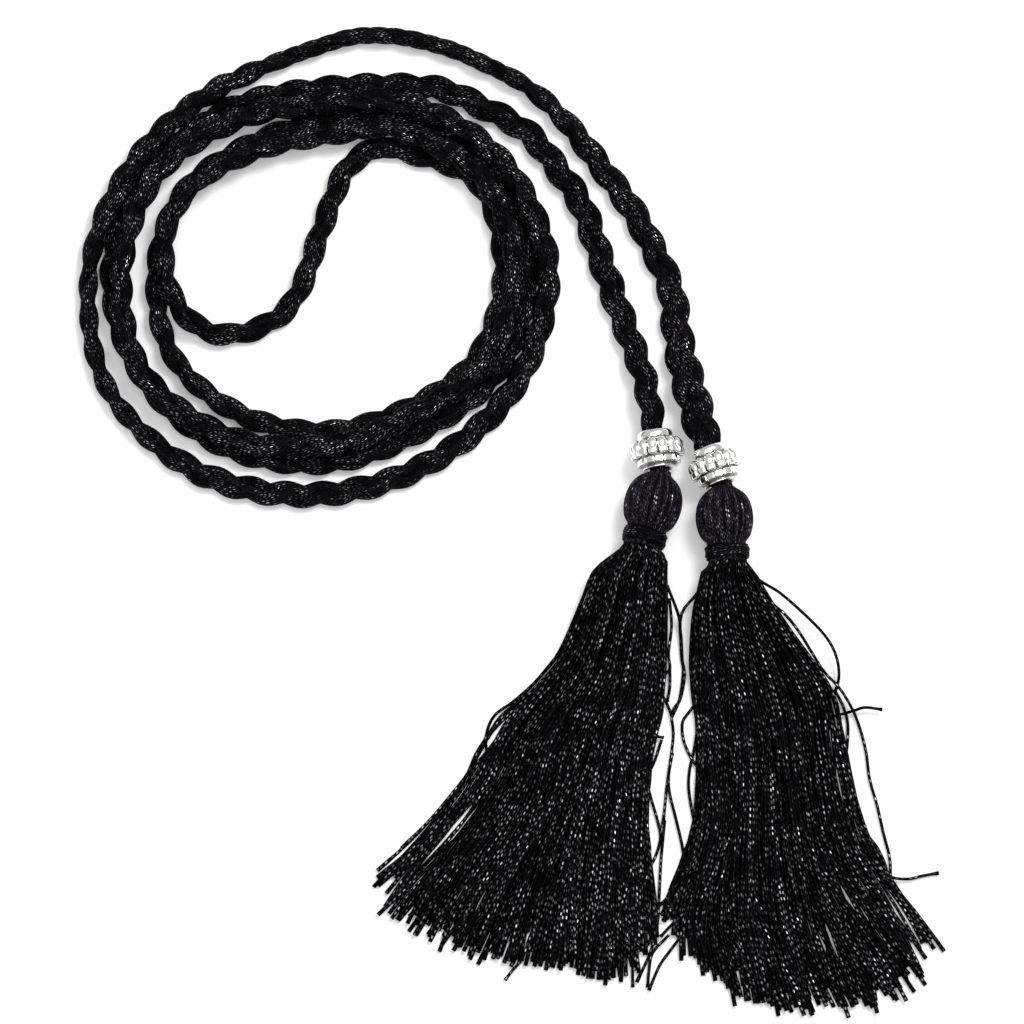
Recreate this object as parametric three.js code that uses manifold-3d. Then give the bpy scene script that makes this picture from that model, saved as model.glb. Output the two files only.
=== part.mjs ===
// Cincture cord: one long plaited belt cord, folded in half and laid in a loose coil,
// with a cast metal bead and a fringed tassel on each end.
// Millimetres, +Z up. It lies loosely on the plane z = 0.

import * as THREE from "three";
import { mergeVertices } from "three/addons/utils/BufferGeometryUtils.js";
import Module from "manifold-3d";

const wasm = await Module();
wasm.setup();

// Driving dimensions

// The cord
const CORD_DIAMETER = 5;
const CORD_SIDES = 8;
const CORD_STEPS = 140;
const ROUTE_SAMPLES = 720; // points at which the route's height is worked out
const LAY_CLEARANCE = 0.45; // between two turns that lie on or beside each other
const HUMP_LENGTH = 18; // how gently the cord climbs onto another turn
const ARM_RISE_LENGTH = 30; // how far from a bead the cord leaves the table

// The bead
const BEAD_DIAMETER = 12.2; // over the petals
const BEAD_LENGTH = 9;
const BORE_CLEARANCE = 0.35;
const COLLAR_DIAMETER = 8;
const COLLAR_LENGTH = 1.7;
const COLLAR_ROUND = 0.4;
const BELLY_ROUND = 0.6;
const LOWER_RING_DIAMETER = 9.4;
const PETALS = 9;
const PETAL_DEPTH = 3.2; // across the petal, outwards
const PETAL_HEIGHT = 4.4; // along the bead
const BOSS_SIZE = 1.5;
const BOSS_RAISED = 0.5; // above the bead's lower rim
const RIM_ROUND = 0.6;

// The tassel
const HEAD_DIAMETER = 13.2;
const HEAD_LENGTH = 13.2;
const HEAD_TOP_DIAMETER = 4;
const SHOULDER_DIAMETER = 9.5;
const SHOULDER_SLOPE = 0.8; // how steeply the head falls away round its top
const NECK_DIAMETER = 8.8;
const WRAP_LENGTH = 4.6;
const WRAP_WALL = 0.8;
const PIECE_GAP = 0.3;
const ROUND_SIDES = 20;
const SKIRT_LENGTH = 100; // from the neck to the middle ends of the fringe
const LOCK_SIDES = 8;
const LOCK_OVERLAP = 1.5; // width of a lock over the spacing of the locks
const LOCK_NECK_WIDTH = 2.6; // the least width of a lock, which it has in the neck
const TIP_THICKNESS = 2.4;
const MIDDLE_THICKNESS = 5.6;
const BEDDED = 0.38; // how high a lock's middle lies over the table, as a share of its thickness
const NECK_INSET = 0.15; // the fringe is this much slimmer than the neck where it passes the binding
const EDGE_THINNING = 0.35; // how much thinner the outer locks are than the middle ones

// The axis of bead, head and neck lies as high as the widest of them needs.
const AXIS_HEIGHT = HEAD_DIAMETER / 2;
const CORD_RADIUS = CORD_DIAMETER / 2;
const NECK_RADIUS = NECK_DIAMETER / 2;
const BORE_RADIUS = CORD_RADIUS + BORE_CLEARANCE;

// The coil: radius of each turn on each bearing (degrees) about the coil's middle, clockwise from above.
// The lower half of the cord lies on the table, and the upper half lies beside it or on it.
const COIL_TURNS = [
  { bearing: 60, lowerInner: 33.6, lowerOuter: 41.4, upperInner: 37.6, upperOuter: 44.1 },
  { bearing: 30, lowerInner: 42.2, lowerOuter: 47.8, upperInner: 43.0, upperOuter: 48.9 },
  { bearing: 0, lowerInner: 42.6, lowerOuter: 48.3, upperInner: 45.3, upperOuter: 52.6 },
  { bearing: -30, lowerInner: 41.8, lowerOuter: 47.4, upperInner: 44.7, upperOuter: 52.7 },
  { bearing: -60, lowerInner: 38.5, lowerOuter: 44.5, upperInner: 41.0, upperOuter: 52.1 },
  { bearing: -90, lowerInner: 38.2, lowerOuter: 45.6, upperInner: 42.6, upperOuter: 53.0 },
  { bearing: -120, lowerInner: 38.6, lowerOuter: 47.0, upperInner: 45.6, upperOuter: 55.2 },
  { bearing: -150, lowerInner: 39.4, lowerOuter: 47.7, upperInner: 47.9, upperOuter: 56.2 },
  { bearing: 180, lowerInner: 37.5, lowerOuter: 47.8, upperInner: 45.6, upperOuter: 53.0 },
  { bearing: 150, lowerInner: 36.3, lowerOuter: 45.6, upperInner: 43.6, upperOuter: 49.4 },
  { bearing: 120, lowerInner: 33.9, lowerOuter: 43.8, upperInner: 40.1, upperOuter: 49.0 },
  { bearing: 90, lowerInner: 35.2, lowerOuter: 43.2, upperInner: 38.9, upperOuter: 53.3 },
];

// Where the cord isn't coiled, its route is a list of chosen points [x, y] from the coil's middle.
const LEFT_ARM = [
  [25.2, 43.6], [37.5, 38.9], [48.0, 32.7], [55.0, 24.0], [60.5, 15.5],
  [64.5, 4.0], [68.2, -6.9], [71.8, -17.0], [75.0, -27.0],
];
const LOWER_FOLD = [
  [13.0, 29.0], [7.2, 25.4], [3.9, 19.5], [1.3, 12.0], [-1.2, 5.0], [-3.6, -2.5],
  [-8.0, -9.8], [-15.2, -14.1],
];
const UPPER_FOLD = [
  [-23.4, -15.3], [-30.3, -12.0], [-34.6, -5.2], [-35.8, 3.0], [-34.6, 11.0], [-30.4, 18.0],
  [-23.2, 23.2], [-15.1, 27.2], [-7.5, 29.7], [0.2, 31.2], [9.8, 32.7],
];
const RIGHT_ARM = [
  [13.0, 55.9], [27.6, 53.4], [40.2, 48.0], [49.8, 42.3], [58.0, 34.0], [65.0, 24.6],
  [71.4, 15.6], [76.6, 6.0], [80.8, -3.6], [82.2, -12.4], [83.6, -21.4], [85.8, -30.4],
];

// The two ends, seen from above: where the neck lies, and how far its head and its bead lean
// from +Y (degrees, counterclockwise).
// The outline of the fringe is given in sections down from the neck, as shares of SKIRT_LENGTH,
// and the reach of each lock, from the left edge to the right, as a share of it too.
const LEFT_END = {
  side: "left",
  neck: [74.8, -64.2],
  headLean: -14,
  beadLean: 8,
  sections: [
    { down: 0.02, left: -0.053, right: 0.052 },
    { down: 0.08, left: -0.122, right: 0.054 },
    { down: 0.15, left: -0.148, right: 0.052 },
    { down: 0.25, left: -0.182, right: 0.048 },
    { down: 0.37, left: -0.262, right: 0.041 },
    { down: 0.5, left: -0.352, right: 0.008 },
    { down: 0.68, left: -0.5, right: -0.004 },
    { down: 0.82, left: -0.655, right: 0.01 },
    { down: 1.05, left: -0.85, right: 0.02 },
  ],
  reaches: [0.8, 0.86, 0.89, 0.905, 0.935, 0.955, 0.97, 0.985, 0.995, 1.01, 1.02, 0.94],
};
const RIGHT_END = {
  side: "right",
  neck: [93.8, -67.7],
  headLean: 4,
  beadLean: 20,
  sections: [
    { down: 0.02, left: -0.053, right: 0.053 },
    { down: 0.07, left: -0.067, right: 0.08 },
    { down: 0.13, left: -0.078, right: 0.118 },
    { down: 0.21, left: -0.086, right: 0.17 },
    { down: 0.32, left: -0.08, right: 0.245 },
    { down: 0.46, left: -0.06, right: 0.268 },
    { down: 0.63, left: -0.067, right: 0.3 },
    { down: 0.72, left: -0.097, right: 0.347 },
    { down: 0.85, left: -0.145, right: 0.45 },
    { down: 1.08, left: -0.13, right: 0.6 },
  ],
  reaches: [0.84, 0.96, 1.02, 1.05, 1.07, 1.08, 1.05, 1.055, 1.05, 1.01, 0.98, 0.92],
};

// Materials
const finish = (colour, roughness, metalness) =>
  new THREE.MeshStandardMaterial({ color: colour, roughness, metalness });
const cordFabric = () => finish(0x121214, 0.55, 0);
const fringeFabric = () => finish(0x101012, 0.5, 0);
const bindingThread = () => finish(0x0d0d0f, 0.6, 0);
const castSilver = () => finish(0xd9dadd, 0.18, 1);

// Solids

const smoothStep = (t) => t * t * (3 - 2 * t);
const shareBetween = (from, to, t) => from + (to - from) * t;

function toSolid(geometry) {
  const bare = geometry.clone();
  bare.deleteAttribute("normal");
  bare.deleteAttribute("uv");
  const merged = mergeVertices(bare, 1e-4);
  return new wasm.Manifold(
    new wasm.Mesh({
      numProp: 3,
      vertProperties: merged.attributes.position.array,
      triVerts: new Uint32Array(merged.index.array),
    }),
  );
}

function toGeometry(solid) {
  const mesh = solid.getMesh();
  const geometry = new THREE.BufferGeometry();
  geometry.setAttribute("position", new THREE.BufferAttribute(mesh.vertProperties, 3));
  geometry.setIndex(new THREE.BufferAttribute(mesh.triVerts, 1));
  geometry.computeVertexNormals();
  return geometry;
}

function named(name, geometry, material) {
  const mesh = new THREE.Mesh(geometry, material);
  mesh.name = name;
  return mesh;
}

function regularOutline(radius, sides) {
  const corners = [];
  for (let i = 0; i < sides; i += 1) {
    const angle = ((i + 0.5) / sides) * 2 * Math.PI;
    corners.push(new THREE.Vector2(radius * Math.cos(angle), radius * Math.sin(angle)));
  }
  return new THREE.Shape(corners);
}

// A closed body through rings of points that all have the same number of points.
function loft(rings) {
  const count = rings[0].length;
  const positions = rings.flat().flatMap((point) => [point.x, point.y, point.z]);
  const faces = [];
  for (let ring = 0; ring + 1 < rings.length; ring += 1) {
    for (let i = 0; i < count; i += 1) {
      const next = (i + 1) % count;
      const a = ring * count + i;
      const b = ring * count + next;
      faces.push(a, b, a + count, b, b + count, a + count);
    }
  }
  const last = (rings.length - 1) * count;
  for (let i = 1; i + 1 < count; i += 1) {
    faces.push(0, i + 1, i, last, last + i, last + i + 1);
  }
  const geometry = new THREE.BufferGeometry();
  geometry.setAttribute("position", new THREE.Float32BufferAttribute(positions, 3));
  geometry.setIndex(faces);
  return geometry;
}

// The route of the cord

const neckToHeadTop = WRAP_LENGTH / 2 + HEAD_LENGTH;

function alongLean(from, lean, distance) {
  const angle = THREE.MathUtils.degToRad(lean);
  return [from[0] - Math.sin(angle) * distance, from[1] + Math.cos(angle) * distance];
}

// The bead sits on the head, on an axis of its own, and the cord runs down that axis.
const headTopOf = (end) => alongLean(end.neck, end.headLean, neckToHeadTop);

// How far a round face that is tilted to the head stands off the head's top: its rim dips
// towards the head, whose shoulder falls away under it.
function standOff(end, radius) {
  const tilt = THREE.MathUtils.degToRad(Math.abs(end.beadLean - end.headLean));
  const pastTop = Math.max(0, radius * Math.cos(tilt) - HEAD_TOP_DIAMETER / 2);
  return radius * Math.sin(tilt) - pastTop * SHOULDER_SLOPE + 1.5 * PIECE_GAP;
}

function beadFootOf(end) {
  return Math.max(standOff(end, BORE_RADIUS), standOff(end, LOWER_RING_DIAMETER / 2));
}

function beadMiddleOf(end) {
  return alongLean(headTopOf(end), end.beadLean, beadFootOf(end) + BEAD_LENGTH / 2);
}

function cordEnd(end) {
  const foot = beadFootOf(end);
  const inBead = [1, 2, 3].map((third) => foot + (BEAD_LENGTH * third) / 3);
  return [standOff(end, CORD_RADIUS), ...inBead].map((distance) => alongLean(headTopOf(end), end.beadLean, distance));
}

function turn(column) {
  return COIL_TURNS.map((row) => {
    const angle = THREE.MathUtils.degToRad(row.bearing);
    return [row[column] * Math.cos(angle), row[column] * Math.sin(angle)];
  });
}

function planRoute() {
  const lowerHalf = [...turn("lowerInner"), ...turn("lowerOuter"), ...LEFT_ARM];
  const upperHalf = [...turn("upperInner"), ...turn("upperOuter"), ...RIGHT_ARM];
  const points = [
    ...cordEnd(LEFT_END),
    ...lowerHalf.reverse(),
    ...LOWER_FOLD,
    ...UPPER_FOLD,
    ...upperHalf,
    ...cordEnd(RIGHT_END).reverse(),
  ];
  const flat = points.map(([x, y]) => new THREE.Vector3(x, y, 0));
  const curve = new THREE.CatmullRomCurve3(flat, false, "catmullrom", 0.5);
  curve.arcLengthDivisions = 4 * ROUTE_SAMPLES;
  return curve;
}

// Which point is nearest to the one where the lower half ends, in the fold.
function foldIndex(points) {
  const fold = new THREE.Vector3(...LOWER_FOLD.at(-1), 0);
  const distances = points.map((point) => point.distanceTo(fold));
  return distances.indexOf(Math.min(...distances));
}

// Heights along the route: the upper half is lifted just clear of every turn that it lies on,
// in long low humps, and each end rises from the table to its bead.
function cordCurve() {
  const plan = planRoute();
  const spacing = plan.getLength() / ROUTE_SAMPLES;
  const points = plan.getSpacedPoints(ROUTE_SAMPLES);
  const half = foldIndex(points);
  const clear = CORD_DIAMETER + LAY_CLEARANCE;
  const alone = Math.ceil((3 * CORD_DIAMETER) / spacing);
  const lifts = points.map((point, i) => {
    if (i <= half) return 0;
    let nearest = clear;
    for (let j = 0; j <= half; j += 1) {
      if (i - j > alone) nearest = Math.min(nearest, point.distanceTo(points[j]));
    }
    return Math.sqrt(clear * clear - nearest * nearest);
  });
  const reach = Math.round(HUMP_LENGTH / 2 / spacing);
  const windowOf = (values, i) => values.slice(Math.max(0, i - reach), i + reach + 1);
  const humps = lifts.map((_, i) => Math.max(...windowOf(lifts, i)));
  const smooth = humps.map((_, i) => {
    const near = windowOf(humps, i);
    return near.reduce((sum, value) => sum + value, 0) / near.length;
  });
  const endStretch = BEAD_LENGTH + beadFootOf(LEFT_END);
  points.forEach((point, i) => {
    const toEnd = Math.min(i, ROUTE_SAMPLES - i) * spacing - endStretch;
    const risen = 1 - Math.min(1, Math.max(0, toEnd / ARM_RISE_LENGTH));
    const bed = CORD_RADIUS + smooth[i];
    point.z = shareBetween(bed, AXIS_HEIGHT, smoothStep(risen));
  });
  const curve = new THREE.CatmullRomCurve3(points, false, "catmullrom", 0.5);
  curve.arcLengthDivisions = 4 * ROUTE_SAMPLES;
  return curve;
}

function makeCord(curve) {
  const section = regularOutline(CORD_RADIUS, CORD_SIDES);
  const tube = new THREE.ExtrudeGeometry(section, {
    steps: CORD_STEPS,
    extrudePath: curve,
    bevelEnabled: false,
  });
  return named("cord", toGeometry(toSolid(tube)), cordFabric());
}

// The bead: a turned body with a bore, a ring of petals round the belly and square bosses below.
// Its axis is local Y, and its collar points to +Y.
function makeBead(side) {
  const bore = BORE_RADIUS;
  const half = BEAD_LENGTH / 2;
  const collar = COLLAR_DIAMETER / 2;
  const ring = LOWER_RING_DIAMETER / 2;
  const belly = BEAD_DIAMETER / 2 - PETAL_DEPTH / 2;
  const bellyTop = half - COLLAR_LENGTH;
  const bellyLow = bellyTop - PETAL_HEIGHT;
  const profile = [
    [bore, -half], [ring - RIM_ROUND, -half], [ring, -half + RIM_ROUND], [ring, bellyLow - BELLY_ROUND / 2],
    [belly, bellyLow + BELLY_ROUND], [belly, bellyTop - BELLY_ROUND], [collar - COLLAR_ROUND, bellyTop],
    [collar, bellyTop + COLLAR_ROUND], [collar, half - COLLAR_ROUND], [collar - COLLAR_ROUND, half],
    [bore, half], [bore, -half],
  ].map(([radius, height]) => new THREE.Vector2(radius, height));
  let solid = toSolid(new THREE.LatheGeometry(profile, 2 * PETALS));
  const petal = new THREE.SphereGeometry(1, 10, 6);
  petal.scale(PETAL_DEPTH / 2, PETAL_HEIGHT / 2, (Math.PI * belly) / PETALS);
  petal.translate(belly, (bellyTop + bellyLow) / 2, 0);
  const boss = new THREE.BoxGeometry(BOSS_SIZE, BOSS_SIZE, BOSS_SIZE);
  boss.translate(ring - BOSS_SIZE / 4, -half + BOSS_SIZE / 2 + BOSS_RAISED, 0);
  const axis = new THREE.Matrix4();
  for (let i = 0; i < PETALS; i += 1) {
    axis.makeRotationY((i / PETALS) * 2 * Math.PI);
    solid = solid.add(toSolid(petal.clone().applyMatrix4(axis)));
    axis.makeRotationY(((i + 0.5) / PETALS) * 2 * Math.PI);
    solid = solid.add(toSolid(boss.clone().applyMatrix4(axis)));
  }
  const drill = new THREE.CylinderGeometry(bore, bore, 2 * BEAD_LENGTH, 2 * PETALS);
  solid = solid.subtract(toSolid(drill));
  return named(`bead_${side}`, toGeometry(solid), castSilver());
}

// The head's swell from the neck's radius (0) to its own (1), at shares of its length.
const HEAD_SECTIONS = [
  { along: 0, swell: 0 },
  { along: 0.1, swell: 0.55 },
  { along: 0.26, swell: 0.9 },
  { along: 0.45, swell: 1 },
  { along: 0.67, swell: 0.82 },
];

// The head of a tassel: an egg of threads that narrows to the bound neck. Local Y is its axis,
// with y = 0 at the middle of the neck.
function headSolid() {
  const foot = WRAP_LENGTH / 2;
  const top = HEAD_TOP_DIAMETER / 2;
  const shoulder = SHOULDER_DIAMETER / 2;
  const egg = HEAD_SECTIONS.map(({ along, swell }) => [
    shareBetween(NECK_RADIUS, HEAD_DIAMETER / 2, swell),
    foot + HEAD_LENGTH * along,
  ]);
  const profile = [
    [0, -foot], [NECK_RADIUS, -foot], ...egg,
    [shoulder, foot + HEAD_LENGTH - (shoulder - top) * SHOULDER_SLOPE],
    [top, foot + HEAD_LENGTH], [0, foot + HEAD_LENGTH],
  ].map(([radius, height]) => new THREE.Vector2(radius, height));
  return toSolid(new THREE.LatheGeometry(profile, ROUND_SIDES));
}

// The left or the right edge of a fringe, at a share of SKIRT_LENGTH down from the neck.
function edgeAt(sections, edge, down) {
  const after = Math.max(1, sections.findIndex((row) => row.down >= down));
  const [from, to] = [sections[after - 1], sections[after]];
  return shareBetween(from[edge], to[edge], (down - from.down) / (to.down - from.down));
}

// One lock of the fringe: an oval strip from inside the neck to its tip. It leaves the neck tall,
// on the lean of the head, then sinks to the table and flattens towards its tip.
const LOCK_STATIONS = [
  { along: 0.08, narrow: 1, sunk: 0.14 },
  { along: 0.18, narrow: 1, sunk: 0.55 },
  { along: 0.34, narrow: 1, sunk: 0.92 },
  { along: 0.55, narrow: 1, sunk: 1 },
  { along: 0.75, narrow: 1, sunk: 1 },
  { along: 0.91, narrow: 0.9, sunk: 1 },
  { along: 1, narrow: 0.4, sunk: 1 },
];

function ovalRing(middle, height, width, tall, lean) {
  const angle = THREE.MathUtils.degToRad(lean);
  const ring = [];
  for (let i = 0; i < LOCK_SIDES; i += 1) {
    const turned = ((i + 0.5) / LOCK_SIDES) * 2 * Math.PI;
    const across = (width / 2) * Math.cos(turned);
    const [x, y] = [middle[0] + across * Math.cos(angle), middle[1] + across * Math.sin(angle)];
    ring.push(new THREE.Vector3(x, y, height + (tall / 2) * Math.sin(turned)));
  }
  return ring;
}

function lockSolid(end, index) {
  const count = end.reaches.length;
  const share = index / (count - 1);
  const across = 2 * share - 1;
  const reach = end.reaches[index];
  const dome = 1 - EDGE_THINNING * across * across;
  const neckRoom = NECK_RADIUS - LOCK_NECK_WIDTH / 2 - NECK_INSET;
  const neckAcross = across * neckRoom;
  const neckTall = 2 * (Math.sqrt(NECK_RADIUS * NECK_RADIUS - neckAcross * neckAcross) - NECK_INSET);
  const inNeck = [0, WRAP_LENGTH / 2 + PIECE_GAP].map((below) => {
    const [x, y] = alongLean([0, 0], end.headLean, -below);
    const lean = THREE.MathUtils.degToRad(end.headLean);
    const middle = [x + neckAcross * Math.cos(lean), y + neckAcross * Math.sin(lean)];
    return ovalRing(middle, AXIS_HEIGHT, LOCK_NECK_WIDTH, neckTall, end.headLean);
  });
  const inFan = LOCK_STATIONS.map((station) => {
    const down = station.along * reach;
    const left = edgeAt(end.sections, "left", down) * SKIRT_LENGTH;
    const right = edgeAt(end.sections, "right", down) * SKIRT_LENGTH;
    const full = Math.max(((right - left) / (count - 1)) * LOCK_OVERLAP, LOCK_NECK_WIDTH);
    const middle = [shareBetween(left + full / 2, right - full / 2, share), -down * SKIRT_LENGTH];
    const flatTall = dome * shareBetween(MIDDLE_THICKNESS, TIP_THICKNESS, station.along);
    const tall = shareBetween(neckTall, flatTall, station.sunk);
    const height = shareBetween(AXIS_HEIGHT, flatTall * BEDDED, station.sunk);
    return ovalRing(middle, height, full * station.narrow, tall, 0);
  });
  return toSolid(loft([...inNeck, ...inFan]));
}

function makeTassel(end) {
  const lean = THREE.MathUtils.degToRad(end.headLean);
  const place = new THREE.Matrix4().makeRotationZ(lean).setPosition(0, 0, AXIS_HEIGHT);
  let solid = headSolid().transform(place.elements);
  end.reaches.forEach((_, index) => {
    solid = solid.add(lockSolid(end, index));
  });
  const below = new THREE.BoxGeometry(4 * SKIRT_LENGTH, 4 * SKIRT_LENGTH, HEAD_DIAMETER);
  below.translate(0, 0, -HEAD_DIAMETER / 2);
  solid = solid.subtract(toSolid(below));
  return named(`tassel_${end.side}`, toGeometry(solid), fringeFabric());
}

// The binding: a wound ring round the neck, rounded at both rims.
function makeWrap(side) {
  const inner = NECK_RADIUS + PIECE_GAP;
  const outer = inner + WRAP_WALL;
  const half = WRAP_LENGTH / 2 - PIECE_GAP;
  const round = WRAP_WALL / 2;
  const profile = [
    [inner, -half], [outer - round, -half], [outer, -half + round], [outer, half - round],
    [outer - round, half], [inner, half], [inner, -half],
  ].map(([radius, height]) => new THREE.Vector2(radius, height));
  const ring = toSolid(new THREE.LatheGeometry(profile, ROUND_SIDES));
  return named(`neck_wrap_${side}`, toGeometry(ring), bindingThread());
}

function placeOnAxis(mesh, [x, y], lean) {
  mesh.position.set(x, y, AXIS_HEIGHT);
  mesh.rotation.z = THREE.MathUtils.degToRad(lean);
  return mesh;
}

const part = new THREE.Group();
part.add(makeCord(cordCurve()));
for (const end of [LEFT_END, RIGHT_END]) {
  part.add(placeOnAxis(makeBead(end.side), beadMiddleOf(end), end.beadLean));
  part.add(placeOnAxis(makeWrap(end.side), end.neck, end.headLean));
  const tassel = makeTassel(end);
  tassel.position.set(end.neck[0], end.neck[1], 0);
  part.add(tassel);
}

// The part's origin is under the middle of its box.
const box = new THREE.Box3().setFromObject(part, true);
part.position.set(-(box.min.x + box.max.x) / 2, -(box.min.y + box.max.y) / 2, 0);

export default part;
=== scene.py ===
# %% [markdown]
# # A plaited belt cord with two tassels
# The object is one long black belt cord that lies in a loose coil on a table. It has a cast
# metal bead and a fringed tassel on each end. This lesson builds its looks in small steps.
# The solid model is loaded first and stays fixed: it says where every piece lies.

# %% load the solid model as the frame
import math
import random

import bmesh
import bpy
from mathutils import Matrix, Vector


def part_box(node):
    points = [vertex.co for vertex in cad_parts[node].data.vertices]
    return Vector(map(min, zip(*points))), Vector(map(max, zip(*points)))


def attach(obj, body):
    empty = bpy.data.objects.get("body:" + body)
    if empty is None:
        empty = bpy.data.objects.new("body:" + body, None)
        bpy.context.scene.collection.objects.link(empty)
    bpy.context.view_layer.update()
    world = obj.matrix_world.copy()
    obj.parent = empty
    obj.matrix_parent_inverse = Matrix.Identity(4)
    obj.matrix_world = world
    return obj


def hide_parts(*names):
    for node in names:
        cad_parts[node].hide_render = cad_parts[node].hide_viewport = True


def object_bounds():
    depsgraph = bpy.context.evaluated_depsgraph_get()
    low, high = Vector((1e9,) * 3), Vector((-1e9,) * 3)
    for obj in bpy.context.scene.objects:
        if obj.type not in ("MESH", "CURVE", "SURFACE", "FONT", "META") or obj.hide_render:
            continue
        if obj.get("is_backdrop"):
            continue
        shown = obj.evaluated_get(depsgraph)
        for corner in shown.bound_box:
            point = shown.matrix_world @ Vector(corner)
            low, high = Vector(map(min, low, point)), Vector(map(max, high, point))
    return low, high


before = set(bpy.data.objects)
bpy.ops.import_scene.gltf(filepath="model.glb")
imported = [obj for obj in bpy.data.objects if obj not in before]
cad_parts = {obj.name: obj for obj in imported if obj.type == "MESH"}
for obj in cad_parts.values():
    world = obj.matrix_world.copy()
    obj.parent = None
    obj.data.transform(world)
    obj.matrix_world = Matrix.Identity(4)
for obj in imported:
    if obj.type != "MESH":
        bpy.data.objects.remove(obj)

CAD_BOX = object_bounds()
MM = 0.001
print("nodes:", ", ".join(sorted(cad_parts)))

# %% [markdown]
# ## The camera
# The photograph looks steeply down on the table. A camera could be put close by with a short
# lens, but the photograph shows next to no perspective. So the camera stands far away, with a
# long lens that takes in the width that the photograph shows.

# %% place the camera
PHOTO_WIDTH = 235.5 * MM  # what the frame takes in, at the table
CAMERA_ELEVATION = 77  # degrees above the table
CAMERA_DISTANCE = 4.0
SENSOR_WIDTH = 36
AIM = Vector((1.98 * MM, 2.03 * MM, 0))


def add_to_scene(name, data):
    """A new object in the scene that holds this data."""
    made = bpy.data.objects.new(name, data)
    bpy.context.scene.collection.objects.link(made)
    return made


def look_down(aim, distance, elevation, width):
    """A camera that looks along +Y and down, and takes in a width at its aim."""
    data = bpy.data.cameras.new("camera")
    data.sensor_width = SENSOR_WIDTH
    data.lens = SENSOR_WIDTH * distance / width
    camera = add_to_scene("camera", data)
    tilt = math.radians(elevation)
    camera.location = aim + distance * Vector((0, -math.cos(tilt), math.sin(tilt)))
    camera.rotation_euler = (math.radians(90 - elevation), 0, 0)
    bpy.context.scene.camera = camera
    return camera


camera = look_down(AIM, CAMERA_DISTANCE, CAMERA_ELEVATION, PHOTO_WIDTH)
print(f"lens {camera.data.lens:.0f} mm at {CAMERA_DISTANCE} m")

# %% [markdown]
# ## The route of the cord
# A cord is a fixed length of something flexible, so its route comes before its shape. It starts
# in the left bead, goes up the left arm, twice round the coil, folds back on itself in the
# coil's middle, goes twice round again on top, and comes down the right arm to the other bead.
# The turns are a table of radii on twelve bearings, and the rest is a short list of points.
# A curve object with handles could hold the same route. Plain points are used because the plait
# needs to know its place, its direction and its height at every step.

# %% the points of the route, in millimetres about the coil's middle
def named_rows(names, rows):
    """Gives every row of a table the names of its columns."""
    return [dict(zip(names, row)) for row in rows]


COIL_TURNS = named_rows(("bearing", "lower_inner", "lower_outer", "upper_inner", "upper_outer"), [
    (60, 33.6, 41.4, 37.6, 44.1),
    (30, 42.2, 47.8, 43.0, 48.9),
    (0, 42.6, 48.3, 45.3, 52.6),
    (-30, 41.8, 47.4, 44.7, 52.7),
    (-60, 38.5, 44.5, 41.0, 52.1),
    (-90, 38.2, 45.6, 42.6, 53.0),
    (-120, 38.6, 47.0, 45.6, 55.2),
    (-150, 39.4, 47.7, 47.9, 56.2),
    (180, 37.5, 47.8, 45.6, 53.0),
    (150, 36.3, 45.6, 43.6, 49.4),
    (120, 33.9, 43.8, 40.1, 49.0),
    (90, 35.2, 43.2, 38.9, 53.3),
])
LEFT_ARM = [
    (25.2, 43.6), (37.5, 38.9), (48.0, 32.7), (55.0, 24.0), (60.5, 15.5),
    (64.5, 4.0), (68.2, -6.9), (71.8, -17.0), (75.0, -27.0),
]
LOWER_FOLD = [
    (13.0, 29.0), (7.2, 25.4), (3.9, 19.5), (1.3, 12.0), (-1.2, 5.0), (-3.6, -2.5),
    (-8.0, -9.8), (-15.2, -14.1),
]
UPPER_FOLD = [
    (-23.4, -15.3), (-30.3, -12.0), (-34.6, -5.2), (-35.8, 3.0), (-34.6, 11.0), (-30.4, 18.0),
    (-23.2, 23.2), (-15.1, 27.2), (-7.5, 29.7), (0.2, 31.2), (9.8, 32.7),
]
RIGHT_ARM = [
    (13.0, 55.9), (27.6, 53.4), (40.2, 48.0), (49.8, 42.3), (58.0, 34.0), (65.0, 24.6),
    (71.4, 15.6), (76.6, 6.0), (80.8, -3.6), (82.2, -12.4), (83.6, -21.4), (85.8, -30.4),
]
print("points:", 4 * len(COIL_TURNS) + len(LEFT_ARM + LOWER_FOLD + UPPER_FOLD + RIGHT_ARM))

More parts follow.
